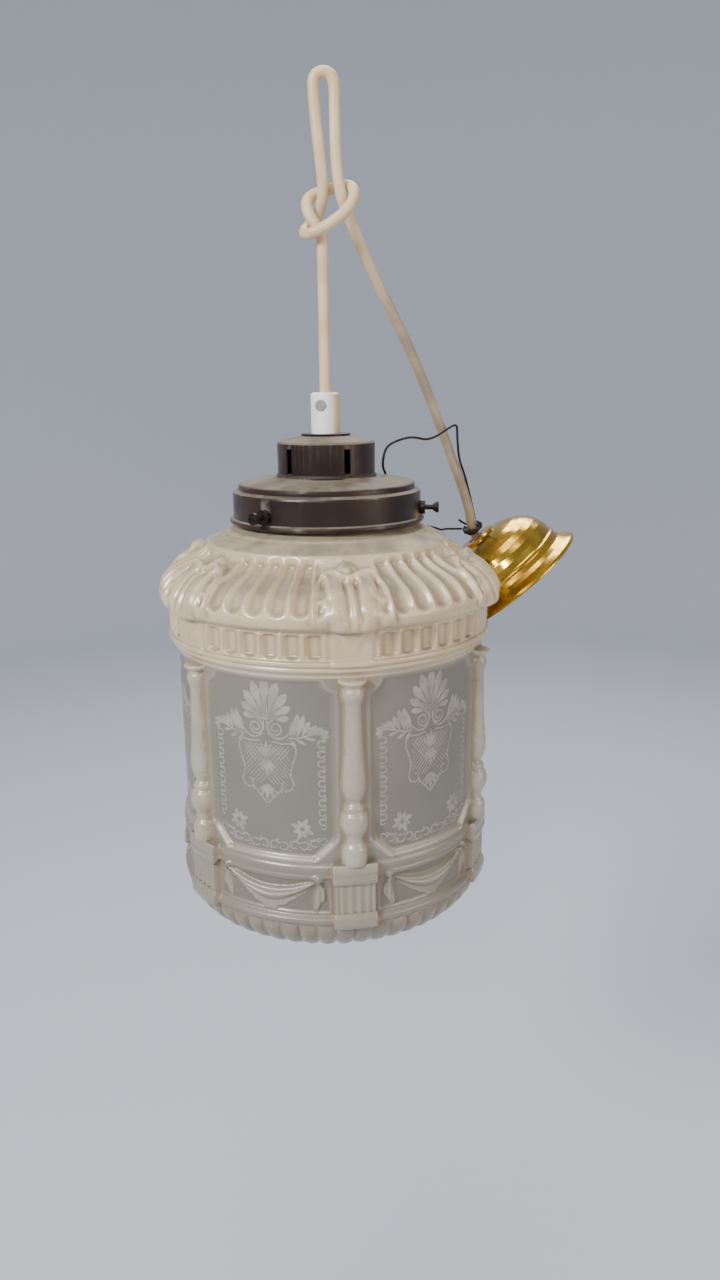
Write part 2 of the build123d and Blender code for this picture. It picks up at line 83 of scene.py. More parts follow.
# ---- materials ----------------------------------------------------------------------------------
class Look:
    """A procedural material, built up node by node round one principled shader."""

    def __init__(self, name, colour, roughness, metallic=0.0, **inputs):
        self.material = bpy.data.materials.new(name)
        self.material.use_nodes = True
        self.tree = self.material.node_tree
        self.shader = self.tree.nodes["Principled BSDF"]
        self.shader.inputs["Base Color"].default_value = (*colour, 1)
        self.shader.inputs["Roughness"].default_value = roughness
        self.shader.inputs["Metallic"].default_value = metallic
        for key, value in inputs.items():
            self.shader.inputs[key.replace("_", " ").title().replace("Ior", "IOR")].default_value = value

    def node(self, kind, **settings):
        node = self.tree.nodes.new("ShaderNode" + kind)
        for key, value in settings.items():
            setattr(node, key, value)
        return node

    def join(self, source, target):
        self.tree.links.new(source, target)

    def feed(self, socket, value):
        """A number, a colour or another node's output into a socket."""
        if isinstance(value, bpy.types.NodeSocket):
            self.join(value, socket)
        elif isinstance(value, tuple) and len(value) == 3 and socket.type == "RGBA":
            socket.default_value = (*value, 1)
        else:
            socket.default_value = value

    def noise(self, scale, detail, roughness=0.55):
        noise = self.node("TexNoise")
        noise.inputs["Scale"].default_value = scale
        noise.inputs["Detail"].default_value = detail
        noise.inputs["Roughness"].default_value = roughness
        self.join(self.node("TexCoord").outputs["Object"], noise.inputs["Vector"])
        return noise.outputs["Fac"]

    def span(self, value, low, high, to_low=0.0, to_high=1.0):
        """Smooth change from to_low at low to to_high at high."""
        node = self.node("MapRange", interpolation_type="SMOOTHSTEP")
        self.feed(node.inputs["Value"], value)
        limits = (("From Min", low), ("From Max", high), ("To Min", to_low), ("To Max", to_high))
        for key, number in limits:
            node.inputs[key].default_value = number
        return node.outputs["Result"]

    def math(self, operation, a, b):
        node = self.node("Math", operation=operation)
        self.feed(node.inputs[0], a)
        self.feed(node.inputs[1], b)
        return node.outputs[0]

    def mix(self, share, a, b):
        """Two colours, or two numbers, mixed."""
        wide = isinstance(a, tuple) or (isinstance(a, bpy.types.NodeSocket) and a.type == "RGBA")
        node = self.node("Mix", data_type="RGBA" if wide else "FLOAT")
        first, second = (6, 7) if wide else (2, 3)
        self.feed(node.inputs[0], share)
        self.feed(node.inputs[first], a)
        self.feed(node.inputs[second], b)
        return node.outputs[2 if wide else 0]

    def upward(self):
        """How far a face looks up, from -1 to 1."""
        split = self.node("SeparateXYZ")
        self.join(self.node("NewGeometry").outputs["Normal"], split.inputs[0])
        return split.outputs["Z"]

    def position(self, axis):
        split = self.node("SeparateXYZ")
        self.join(self.node("TexCoord").outputs["Object"], split.inputs[0])
        return split.outputs[axis]

    def attribute(self, name):
        return self.node("Attribute", attribute_name=name).outputs["Fac"]

    def edges(self, low, high):
        """Worn edges, from 0 on flat faces to 1 on sharp ones."""
        return self.span(self.node("NewGeometry").outputs["Pointiness"], low, high)

    def set(self, key, value):
        self.feed(self.shader.inputs[key], value)

    def bump(self, height, strength, distance):
        node = self.node("Bump")
        self.feed(node.inputs["Height"], height)
        node.inputs["Strength"].default_value = strength
        node.inputs["Distance"].default_value = distance
        self.join(node.outputs["Normal"], self.shader.inputs["Normal"])


def shade_glass():
    look = Look("pearl_glass", (0.68, 0.55, 0.40), 0.30, subsurface_weight=0.10, subsurface_scale=0.0015,
                coat_weight=0.45, coat_roughness=0.2, specular_ior_level=0.6)
    look.shader.inputs["Subsurface Radius"].default_value = (1.0, 0.8, 0.55)
    satin, hollow = look.attribute("satin"), look.attribute("hollow")
    cloud, height = look.span(look.noise(28, 3), 0.35, 0.7), look.position("Z")
    pearl = look.mix(cloud, (0.55, 0.42, 0.25), (0.64, 0.505, 0.325))
    body = look.mix(cloud, (0.35, 0.305, 0.23), (0.42, 0.375, 0.29))
    # Painted shade: the glass darkens below about -430 mm, towards its underside.
    body = look.mix(look.span(height, -0.455, -0.430, 1, 0), body, (0.20, 0.155, 0.09))
    # Painted light: the pale pearl colour above the frieze's foot and the duller body colour below it stand
    # in for light from above and through the glass.
    height_lit_glass = look.mix(look.span(height, -0.310, -0.288), body, pearl)
    grey = look.mix(look.span(look.noise(18, 2), 0.35, 0.7), (0.165, 0.15, 0.118), (0.195, 0.178, 0.142))
    ground = look.mix(satin, height_lit_glass, grey)
    # Painted shade: the glass darkens again below about -400 mm, round the swags and pedestals.
    ground = look.mix(look.span(height, -0.408, -0.396, 0.42, 0), ground, (0.14, 0.115, 0.075))
    # Painted shade: the relief's hollows darken towards a brown.
    shaded = look.mix(look.span(hollow, 0.05, 0.9, 0, 0.78), ground, (0.26, 0.19, 0.105))
    dusty = look.math("MULTIPLY", look.span(look.upward(), 0.5, 0.9),
                      look.span(look.noise(90, 5), 0.3, 0.75, 0.5, 0.9))
    look.set("Base Color", look.mix(dusty, shaded, (0.17, 0.148, 0.112)))
    rough = look.mix(satin, look.span(look.noise(140, 2), 0.2, 0.8, 0.25, 0.36), 0.5)
    look.set("Roughness", look.mix(dusty, rough, 0.8))
    look.set("Coat Weight", look.span(dusty, 0.0, 0.6, 0.45, 0.0))
    look.bump(look.noise(420, 3), 0.08, 0.0006)
    return look.material


def etched():
    look = Look("etched_frost", (0.42, 0.395, 0.335), 0.75)
    grain = look.span(look.noise(160, 3), 0.35, 0.65)
    look.set("Base Color", look.mix(grain, (0.275, 0.253, 0.208), (0.345, 0.322, 0.268)))
    return look.material


def bronze():
    look = Look("dark_bronze", (0.03, 0.018, 0.012), 0.36, 0.35, coat_weight=0.3, coat_roughness=0.3,
                specular_ior_level=0.3)
    stain = look.span(look.noise(24, 5), 0.35, 0.7)
    base = look.mix(stain, (0.020, 0.0105, 0.007), (0.040, 0.022, 0.015))
    worn = look.math("MULTIPLY", look.edges(0.52, 0.60),
                     look.span(look.noise(60, 4), 0.4, 0.6, 0.05, 0.5))
    base = look.mix(worn, base, (0.40, 0.34, 0.26))
    dust = look.math("MULTIPLY", look.span(look.upward(), 0.45, 0.97),
                     look.span(look.noise(34, 6, 0.7), 0.3, 0.62, 0.3, 0.9))
    look.set("Base Color", look.mix(dust, base, (0.25, 0.205, 0.155)))
    look.set("Metallic", look.span(dust, 0.0, 0.8, 0.35, 0.05))
    look.set("Coat Weight", look.span(dust, 0.0, 0.5, 0.2, 0.0))
    look.set("Roughness", look.mix(dust, look.span(look.noise(50, 4), 0.3, 0.7, 0.28, 0.44), 0.85))
    look.bump(look.noise(260, 4), 0.12, 0.0005)
    return look.material


def polished_brass():
    look = Look("polished_brass", (0.80, 0.50, 0.07), 0.16, 1.0)
    stain = look.span(look.noise(30, 6, 0.65), 0.42, 0.66)
    look.set("Base Color", look.mix(stain, (0.86, 0.54, 0.07), (0.36, 0.18, 0.022)))
    look.set("Roughness", look.mix(stain, 0.13, 0.32))
    look.bump(look.noise(55, 3), 0.16, 0.0014)
    return look.material


def flex_skin():
    look = Look("cream_flex", (0.66, 0.52, 0.32), 0.42, coat_weight=0.15, coat_roughness=0.3,
                subsurface_weight=0.12, subsurface_scale=0.002)
    # Painted shadow: the flex darkens to a dim brown along its run to the right, towards the canopy.
    run = look.span(look.position("X"), 0.014, 0.05)
    cord_tone = look.mix(look.span(look.noise(45, 4), 0.35, 0.68), (0.74, 0.57, 0.34), (0.64, 0.46, 0.245))
    run_shadow = look.mix(look.span(look.noise(70, 5), 0.35, 0.65), (0.38, 0.31, 0.22), (0.24, 0.19, 0.13))
    look.set("Base Color", look.mix(look.math("MULTIPLY", run, 0.85), cord_tone, run_shadow))
    look.bump(look.noise(300, 3), 0.1, 0.0004)
    return look.material


def ivory():
    look = Look("ivory_grip", (0.78, 0.73, 0.62), 0.36, subsurface_weight=0.2, subsurface_scale=0.002,
                coat_weight=0.2, coat_roughness=0.25)
    # Painted light and shade: the grip goes from near white on its left to warm brown on its right.
    lit_to_shaded = look.span(look.position("X"), -0.003, 0.009)
    tone = look.mix(lit_to_shaded, (0.92, 0.91, 0.89), (0.60, 0.44, 0.23))
    stain = look.span(look.noise(120, 5), 0.5, 0.75, 0, 0.35)
    look.set("Base Color", look.mix(stain, tone, (0.45, 0.37, 0.25)))
    return look.material


def plain(name, colour, roughness, metallic=0.0, second=None, grain=60):
    """A simple finish with a little mottling."""
    look = Look(name, colour, roughness, metallic)
    other = second or tuple(c * 0.72 for c in colour)
    look.set("Base Color", look.mix(look.span(look.noise(grain, 4), 0.35, 0.7), colour, other))
    look.set("Roughness", look.span(look.noise(grain * 1.7, 3), 0.3, 0.7,
                                    roughness * 0.85, min(1, roughness * 1.2)))
    return look.material


GLASS, ETCH, BRONZE, BRASS, FLEX, IVORY = (
    shade_glass(), etched(), bronze(), polished_brass(), flex_skin(), ivory())
WIRE = plain("iron_wire", (0.008, 0.006, 0.005), 0.6, 0.2, (0.022, 0.012, 0.008), 150)
BLACKED = plain("blacked_steel", (0.022, 0.018, 0.017), 0.38, 0.8, (0.05, 0.038, 0.03), 120)
STEEL = plain("screw_steel", (0.36, 0.335, 0.29), 0.36, 0.9)
NIPPLE = plain("nipple_brass", (0.50, 0.36, 0.14), 0.38, 0.9)
ZINC = plain("zinc", (0.42, 0.42, 0.40), 0.45, 0.85)
BAKELITE = plain("bakelite", (0.030, 0.017, 0.012), 0.30)
PORCELAIN = plain("porcelain", (0.74, 0.72, 0.66), 0.28, second=(0.62, 0.59, 0.52))
BROWN = plain("core_brown", (0.13, 0.05, 0.022), 0.5)
BLUE = plain("core_blue", (0.03, 0.10, 0.30), 0.5)
BLOCK = plain("block_plastic", (0.68, 0.66, 0.60), 0.42, second=(0.58, 0.55, 0.48))


# ---- mesh helpers -------------------------------------------------------------------------------
def mesh_object(name, points, faces, material, sharp_angle=None):
    """A mesh from points in millimetres; smooth, with edges over sharp_angle degrees kept sharp."""
    mesh = bpy.data.meshes.new(name)
    mesh.from_pydata((np.asarray(points, dtype=float) * MM).tolist(), [], faces)
    mesh.validate()
    mesh.materials.append(material)
    mesh.shade_smooth()
    if sharp_angle is not None:
        mesh.set_sharp_from_angle(angle=radians(sharp_angle))
    obj = bpy.data.objects.new(name, mesh)
    bpy.context.scene.collection.objects.link(obj)
    return obj


def soft(outline, radius):
    """A closed outline with its corners rounded."""
    result, steps = [], 4
    for i, here in enumerate(outline):
        p, a, b = Vector(here), Vector(outline[i - 1]), Vector(outline[(i + 1) % len(outline)])
        into, out = p - a, b - p
        back, on = min(radius, into.length * 0.45), min(radius, out.length * 0.45)
        first, last = p - into.normalized() * back, p + out.normalized() * on
        for k in range(steps + 1):
            t = k / steps
            q = first * (1 - t) ** 2 + p * (2 * t * (1 - t)) + last * t**2
            result.append((q.x, q.y))
    return result


def spin(name, outline, material, steps, closed=True):
    """An outline of (radius, height) points turned about the Z axis; only its first may be on the axis."""
    points, rings, faces = [], [], []
    for r, z in outline:
        if r < 1e-6:
            rings.append([len(points)])
            points.append((0.0, 0.0, z))
            continue
        rings.append(list(range(len(points), len(points) + steps)))
        for i in range(steps):
            turn = 2 * pi * i / steps
            points.append((r * cos(turn), r * sin(turn), z))
    pairs = list(zip(rings, rings[1:])) + ([(rings[-1], rings[0])] if closed else [])
    for a, b in pairs:
        for i in range(steps):
            j = (i + 1) % steps
            faces.append((a[0], b[i], b[j]) if len(a) == 1 else (a[i], b[i], b[j], a[j]))
    obj = mesh_object(name, points, faces, material, 40)
    tidy_normals(obj)
    return obj


def tidy_normals(obj):
    """Turns every face out."""
    work = bmesh.new()
    work.from_mesh(obj.data)
    bmesh.ops.recalc_face_normals(work, faces=work.faces)
    work.to_mesh(obj.data)
    work.free()


def nurbs_line(points, fineness=24):
    """Points along the NURBS spline whose control points these are, in millimetres."""
    curve = bpy.data.curves.new("route", "CURVE")
    curve.dimensions, curve.resolution_u = "3D", fineness
    spline = curve.splines.new("NURBS")
    spline.points.add(len(points) - 1)
    for slot, point in zip(spline.points, points):
        slot.co = (*[c * MM for c in point], 1)
    spline.order_u = 3
    spline.use_endpoint_u = True
    holder = bpy.data.objects.new("route", curve)
    bpy.context.scene.collection.objects.link(holder)
    bpy.context.view_layer.update()
    mesh = bpy.data.meshes.new_from_object(holder)
    line = np.array([v.co[:] for v in mesh.vertices]) / MM
    bpy.data.objects.remove(holder)
    bpy.data.curves.remove(curve)
    bpy.data.meshes.remove(mesh)
    return line


def distances(line):
    """How far along a line each of its points is."""
    return np.concatenate([[0], np.cumsum(np.linalg.norm(np.diff(line, axis=0), axis=1))])


def sample(line, along, at):
    """What a line's points, this far along it, come to at other distances."""
    return np.stack([np.interp(at, along, line[:, k]) for k in range(line.shape[1])], axis=-1)


def even(line, step):
    """The same line with its points this far apart."""
    along = distances(line)
    count = max(2, int(round(along[-1] / step)) + 1)
    return sample(line, along, np.linspace(0, along[-1], count))


def frames(line):
    """Tangent and two side directions along a line, without twist."""
    tangent = np.gradient(line, axis=0)
    tangent /= np.linalg.norm(tangent, axis=1, keepdims=True)
    side = np.cross(tangent[0], (0.3, 0.9, 0.2))
    sides = []
    for t in tangent:
        side = side - t * np.dot(side, t)
        side /= np.linalg.norm(side)
        sides.append(side.copy())
    sides = np.array(sides)
    return tangent, sides, np.cross(tangent, sides)


def tube(name, line, radius, material, sides):
    """A round tube with capped ends along a line; radius is a number or one per point."""
    _, u, v = frames(line)
    radius = np.broadcast_to(np.asarray(radius, dtype=float), (len(line),))
    turn = np.linspace(0, 2 * pi, sides, endpoint=False)
    ring = (np.cos(turn)[None, :, None] * u[:, None, :] + np.sin(turn)[None, :, None] * v[:, None, :])
    points = (line[:, None, :] + ring * radius[:, None, None]).reshape(-1, 3)
    faces = []
    for start in range(0, (len(line) - 1) * sides, sides):
        for k in range(sides):
            beside = (k + 1) % sides
            faces.append((start + k, start + beside, start + sides + beside, start + sides + k))
    faces += [tuple(reversed(range(sides))), tuple(range((len(line) - 1) * sides, len(line) * sides))]
    obj = mesh_object(name, points, faces, material, 60)
    tidy_normals(obj)
    return obj


# ---- flex ---------------------------------------------------------------------------------------
CORD_D, SWING_Z, GRIP_EXIT = 6.0, -82.0, -158.0
DROP_FOOT, TAIL_TOP, TAIL_FOOT = -186.0, -186.2, -217.0
CROWN = Vector((108.2, 66.9, -254.0))
DOWN_CANOPY = Vector((0.624, -0.160, -0.766)).normalized()
KNOT = [
    (0, 0, SWING_Z), (0, 0, -76.5), (-3.4, 0, -70.6), (-7.4, 0.8, -64.8), (-8.8, 4.6, -58.6),
    (-5.4, 9, -54.2), (1.4, 10.4, -52.3), (9.5, 9.2, -50), (16, 4.5, -50.5), (18.3, -1.5, -57),
    (13.5, -5.8, -64.8), (4, -7.8, -71.8), (-5.5, -6.7, -76.2), (-10.4, -0.5, -75), (-8, 6.9, -70.6),
    (-2, 8.9, -64.5),
    (0.6, 4.2, -57), (0.8, 0.6, -48.5), (-1.2, -0.2, -31), (-3.2, 0, -10), (-3.5, 0, 3),
    (7.9, 0, 3), (7.7, 0.1, -17), (8.1, 0, -42), (10.6, 0.8, -58), (15.2, 5.8, -67.3),
    (23, 13.6, -85.2), (53, 37.2, -140.4), (75.4, 59.8, -193.4), (91.2, 76.8, -233.2),
]
BEFORE_CROWN, PAST_CROWN = 4.0, 11.0
ENTRY = CROWN - DOWN_CANOPY * BEFORE_CROWN
SHEATH_END = CROWN + DOWN_CANOPY * PAST_CROWN
ROUTE = [front(*p) for p in KNOT] + [tuple(ENTRY), tuple(SHEATH_END)]
hanging = even(nurbs_line(ROUTE), 1.2)
drop = even(np.array([(0, 0, DROP_FOOT), (0, 0, SWING_Z + 2.2)]), 1.5)
drop_radius = np.where(drop[:, 2] > SWING_Z - 0.6, CORD_D / 2 - 0.08, CORD_D / 2)


flex_loop = tube("flex_loop", hanging, CORD_D / 2, FLEX, 28)
flex_drop = tube("flex_drop", drop, drop_radius, FLEX, 28)
tail = even(np.array([(0, 0, TAIL_FOOT), (0, 0, TAIL_TOP)]), 4)
flex_tail = tube("flex_tail", tail, CORD_D / 2, FLEX, 20)
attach(flex_loop, "root")
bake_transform(flex_drop)
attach(flex_tail, "lamp")
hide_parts("hanging_cord")
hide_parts("cord_drop")


# ---- tie wire -----------------------------------------------------------------------------------
WIRE_R = 0.72
UPPER_WIRE = [
    (34, 2.4, -203.7), (32.2, -0.4, -200.6), (32.5, 0.2, -194.6), (34.2, 2.3, -189.2), (37.8, 6.8, -186.6),
    (43.9, 14.4, -184.9), (49.6, 21.4, -184.2), (54.6, 27.2, -185.2), (59.6, 33, -186.6),
    (66.3, 40.6, -184.9), (71.2, 46.2, -182.2), (77.6, 52.4, -178.7), (79.9, 54, -179.2),
    (80.2, 54.6, -184.3), (80.6, 55.2, -190.5), (82, 57.8, -200.6), (86.3, 68.4, -209.4),
    (91.4, 76.4, -225), (95.8, 83.8, -241.6),
]
LOWER_WIRE = [
    (-20.8, 54.6, -220.6), (-23.6, 53.6, -219), (-26.6, 51.9, -221.2), (-24.9, 52.6, -225.2),
    (-18.7, 55.6, -227.6), (0, 60.2, -230.6), (33, 57, -233.2), (50, 53.4, -238.2), (61.6, 48, -241),
    (66.9, 54, -242.8), (71.4, 60, -245.3), (74.5, 64, -245), (80.9, 72, -246.3), (86.2, 78.4, -247.2),
]
TIGHT_TURN_R, LOOSE_TURN_R = 3.72, 5.7
for name, points in (("tie_wire_upper", UPPER_WIRE), ("tie_wire_lower", LOWER_WIRE)):
    route = [front(*p) for p in points]
    piece = tube("bent_" + name, even(nurbs_line(route), 0.8), WIRE_R, WIRE, 10)
    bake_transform(piece)
    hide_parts(name)


def windings():
    """The turns round the flex above the canopy, with free ends: lists of points to follow."""
    along = distances(hanging)
    heading = np.gradient(hanging, axis=0)

    def beside(before_crown, right, back):
        """A point this far up the flex from the crown, and to the right of and behind its centreline."""
        at = along[-1] - PAST_CROWN - before_crown
        centre, run = sample(hanging, along, at), sample(heading, along, at)
        run /= np.linalg.norm(run)
        to_right = np.array(front(1, 0, 0))
        to_right -= run * np.dot(to_right, run)
        to_right /= np.linalg.norm(to_right)
        return centre + to_right * right + np.cross(to_right, run) * back

    def coil(start, rise, radius, turns, first):
        """A helix that starts this far up the flex, with its radius a function of the turns made."""
        points = []
        for t in np.linspace(0, turns, int(turns * 28)):
            angle = first + 2 * pi * t
            points.append(beside(start + rise * t, radius(t) * cos(angle), radius(t) * sin(angle)))
        return points

    tight = coil(3.6, 1.3, lambda t: TIGHT_TURN_R, 2.6, 0.4)
    loose = coil(6.4, 0.9, lambda t: LOOSE_TURN_R + 0.9 * sin(5 * t), 1.6, pi)
    crossing = coil(8.0, -1.5, lambda t: 4.6 + 1.4 * sin(3 * t + 1), 1.2, 2.4)
    left_end = [beside(*at) for at in ((11.4, -3.4, -1.6), (12.6, -4.4, -2.4), (14.6, -6.4, -2.6),
                                       (16.2, -7.6, -2.2))]
    right_end = [beside(*at) for at in ((6.2, 3.2, -2.4), (8.4, 5.6, -2.2), (10.4, 6.4, -1.4),
                                        (11.4, 4.8, -2.6), (13.2, 3.6, -2.8))]
    return [tight, loose, crossing, left_end, right_end]


for k, points in enumerate(windings()):
    line = even(nurbs_line([tuple(p) for p in points], 6), 0.5)
    piece = tube(f"wire_turns_{k}", line, WIRE_R, WIRE, 10)
    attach(piece, "root")
    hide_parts("tie_wire_windings")


# ---- glass shade --------------------------------------------------------------------------------
COLUMNS = 900                    # steps round, a multiple of the six bays
BAY = COLUMNS // 6
LIP_JOINT, FOOT_JOINT = -274.0, -402.0           # heights where parts of the shade meet under relief
LIP_R, WALL_R, FIELD_R = 92.6, 90.4, 89.0        # at the lip, the wall, and the sunk fields in it
PIER_HALF = 10.4                                 # half the width of a frieze block
SHOULDER = [(46.3, -227), (48, -229.6), (53.2, -232.4), (58, -234.2), (66, -238), (74, -243), (82, -249.2),
            (89, -256), (94.4, -262), (97.4, -266.2), (98.4, -268.4), (98.2, -270.6), (96.6, -271.8),
            (93.8, -272.6), (92.6, -274)]
FRIEZE = [(92.6, -274), (92.6, -288.2), (93.0, -288.8), (94.0, -289.4), (94.2, -291.2), (92.6, -292.4),
          (92.2, -292.8), (92.9, -293.4), (92.9, -294.6), (91.4, -295.8), (90.4, -297), (90.4, -298.4)]
WALL = [(90.4, -298.4), (90.4, -402)]
LOWER = [(90.4, -402), (90.4, -403.4), (91.3, -404.4), (91.4, -406), (90.9, -408.2), (90.6, -409),
         (91.2, -409.6), (91.2, -410.8), (90.0, -411.8), (90.0, -433.0), (91.2, -434.2), (92.4, -435.4),
         (92.4, -437.2), (91.4, -438.6), (90.6, -439.8)]
UNDER = [(90.6, -439.8), (90.2, -443), (88.6, -447.8), (83, -454.3), (73, -460.3), (59, -465), (41, -468),
         (24, -469.3), (10, -469.7), (2, -469.7)]
INSIDE = [(42.3, -227), (42.3, -229.5), (46, -233), (54, -237.2), (65, -243.2), (74, -250), (82, -257.6),
          (87.2, -266), (88, -274), (88, -288), (85, -297), (85, -437), (83.4, -443.6), (78, -449.2),
          (69, -454.4), (56, -458.6), (40, -461.6), (20, -462.8), (2, -463.2)]


def step(value, low, high):
    """Smooth change from 0 at low to 1 at high."""
    t = np.clip((value - low) / (high - low), 0, 1)
    return t * t * (3 - 2 * t)


def bell(value, centre, width):
    """1 at the centre, falling away smoothly on both sides."""
    return np.exp(-((value - centre) / width) ** 2)


def spot(x, y, at, size):
    """An oval bell on a surface."""
    return np.exp(-((x - at[0]) / size[0]) ** 2 - ((y - at[1]) / size[1]) ** 2)


def profile(points, softness, pitch):
    """Rows down one part of the shade: a polyline with its corners eased, this far apart."""
    line = np.array(points, dtype=float)
    along = distances(line)
    fine = np.linspace(0, along[-1], int(along[-1] / 0.1) + 1)         # ten steps to the millimetre
    dense = sample(line, along, fine)
    reach = int(softness * 30)                                         # three times the spread
    kernel = np.exp(-0.5 * (np.arange(-reach, reach + 1) / (softness * 10)) ** 2)
    kernel /= kernel.sum()
    eased = []
    for k in range(2):
        start = 2 * dense[0, k] - dense[reach:0:-1, k]
        end = 2 * dense[-1, k] - dense[-2:-reach - 2:-1, k]
        eased.append(np.convolve(np.concatenate([start, dense[:, k], end]), kernel, "valid"))
    eased = np.stack(eased, axis=1)
    eased[0], eased[-1] = dense[0], dense[-1]
    count = int(fine[-1] / pitch) + 1
    return sample(eased, fine, np.linspace(0, fine[-1], count))


def outward(rows):
    """The outward direction at each row, as (radius, height)."""
    run = np.gradient(rows, axis=0)
    run /= np.linalg.norm(run, axis=1, keepdims=True)
    return np.stack([-run[:, 1], run[:, 0]], axis=1)


def near_line(x, y, points):
    """Distance from a grid of points to a polyline, and how far along it, from 0 to 1."""
    best, where = np.full(x.shape, 1e9), np.zeros(x.shape)
    count = len(points) - 1
    for k, (a, b) in enumerate(zip(points, points[1:])):
        dx, dy = b[0] - a[0], b[1] - a[1]
        t = np.clip(((x - a[0]) * dx + (y - a[1]) * dy) / (dx * dx + dy * dy + 1e-9), 0, 1)
        d = np.hypot(x - a[0] - t * dx, y - a[1] - t * dy)
        where = np.where(d < best, (k + t) / count, where)
        best = np.minimum(best, d)
    return best, where


def ridge(x, y, points, width, height, taper=True):
    """A rounded raised line."""
    d, where = near_line(x, y, points)
    fade = 0.45 + 0.55 * np.sin(pi * np.clip(where, 0.04, 0.96)) if taper else 1.0
    return height * bell(d, 0, width) * fade


def bay_grid(rows):
    """For one bay: angle from the nearest column, angle from the bay's middle, radius, height."""
    angle = np.arange(BAY) * 60.0 / BAY
    near = np.where(angle < 30, angle, angle - 60)
    r, z = rows[:, 0][:, None], rows[:, 1][:, None]
    ones = np.ones((len(rows), BAY))
    return near[None, :] * ones, (angle - 30)[None, :] * ones, r * ones, z * ones


def shoulder_relief(rows):
    """Concave flutes from a riser under the collar to the lip, and a scrolled bracket over each column."""
    a, b, r, _ = bay_grid(rows)
    run = distances(rows)
    lip = run[int(np.argmin(np.abs(rows[:, 1] + 268.4)))]
    up = (lip - run)[:, None] * np.ones(a.shape)              # distance up from the lip
    swell = np.interp(up, [-4, 0, 2, 5, 9, 13, 17, 21, 26, 31, 36, 38.6, 40.6, 42, 44],
                      [0, 0, 0.8, 1.8, 2.6, 2.6, 1.9, 0.6, -1.2, -2.5, -2.8, -2.4, -0.5, 0, 0])
    half = radians(3.6) * r
    across = (((b + 18) / 7.2) % 1 - 0.5) * 2 * half
    wide = half - 0.45
    below, above = np.maximum(3.0 + half - up, 0), np.maximum(up - 38.4, 0) * 1.6
    bowl = np.maximum(1 - (across / wide) ** 2 - (below / wide) ** 2 - (above / wide) ** 2, 0) ** 0.85
    between = bell(np.abs(across), half, 0.95) * step(up, 3, 9) * step(up, 40, 36)
    h = swell + (1.15 * between - bowl * (2.5 + 0.7 * step(up, 30, 10))) * (np.abs(b) < 18.6)
    # bracket: a shield with two ears, a hollow in each, a drooping leaf below them and a crest between
    x = a * radians(1) * 90.0
    top = 31.4 - 3.2 * bell(a, 0, 2.2) - 14.0 * np.maximum(np.abs(a) - 7.4, 0) ** 2 / 26
    inside = step(top - up, -0.9, 1.5) * step(12.8 - np.abs(a), -0.2, 1.1)
    ears = 1.3 * step(up, 12, 26) * bell(np.abs(a), 7.5, 4.5)
    body = 0.55 * np.maximum(swell, 0) + 2.1 + ears
    bracket = body * step(up, -1.5, 3.5) + seam_height(LIP_JOINT)[None, :BAY] * step(up, 3.5, -1.5)
    for side in (-1, 1):
        sx = x * side
        border = [(19.2, 1), (19.0, 12), (18.2, 20), (16.0, 26), (12.4, 29.4), (8.2, 29.6), (4.6, 27.4)]
        scroll = [(14.0, 26.2), (11.4, 23.6), (10.8, 19.0), (11.0, 14.6), (13.4, 11.2), (16, 10.4)]
        tendril = [(12.0, 9.5), (12.2, 6), (9.8, 1.6), (5.8, 2.0), (4.4, 6), (4.2, 12), (5, 20)]
        bracket += ridge(sx, up, border, 1.2, 1.7, False)
        bracket += ridge(sx, up, scroll, 1.25, 1.5)
        leaf = np.maximum(1 - ((sx - 7.6) / 3.5) ** 2 - (np.maximum(6.0 - up, 0) / 4.4) ** 2
                          - (np.maximum(up - 15, 0) / 9) ** 2, 0)
        bracket += 1.8 * np.sqrt(leaf)
        bracket += ridge(sx, up, tendril, 0.8, 0.8)
        for high, at, size in ((-2.3, (14.6, 21.5), (1.9, 3.8)), (-1.6, (15.4, 6.4), (2.0, 2.6)),
                               (-2.4, (3.0, 21.5), (1.5, 4.2)), (1.5, (15.6, 0.4), (2.6, 1.8)),
                               (1.4, (5.6, -0.6), (2.8, 1.9))):
            bracket += high * spot(sx, up, at, size)
    bracket += ridge(x, up, [(0.6, -1), (0.8, 8), (0.2, 15), (-0.2, 20)], 1.3, 2.0, False)
    bracket += ridge(x, up, [(-5.4, 23.4), (-2.6, 26.4), (0.2, 27.2), (3, 26.2), (5.4, 23.4)], 1.0, 1.4)
    h = h * (1 - inside) + inside * bracket
    crest = 3.4 * spot(x, up, (0, 33.4), (3.8, 4.6))
    crest += ridge(x, up, [(-6.2, 33.0), (-4.2, 36.4), (-1.2, 38.6), (0.6, 37.2)], 1.2, 1.5)
    crest += ridge(x, up, [(6.4, 32.6), (4.6, 36.0), (2.4, 37.8), (1.4, 35.6)], 1.2, 1.3)
    h += crest * (1 - 0.5 * inside)
    # the leaf's tip hangs a little below the lip, and the collar has two fine steps
    h += 0.2 * np.exp(-(a / 8) ** 4) * bell(up, -3.2, 2.4)
    h += 0.45 * bell(r, 56.5, 0.9) - 0.35 * bell(r, 58.6, 1.1)
    h += 0.5 * bell(up, 42.6, 1.2)
    return blur(h, 1, 1), np.zeros(h.shape)


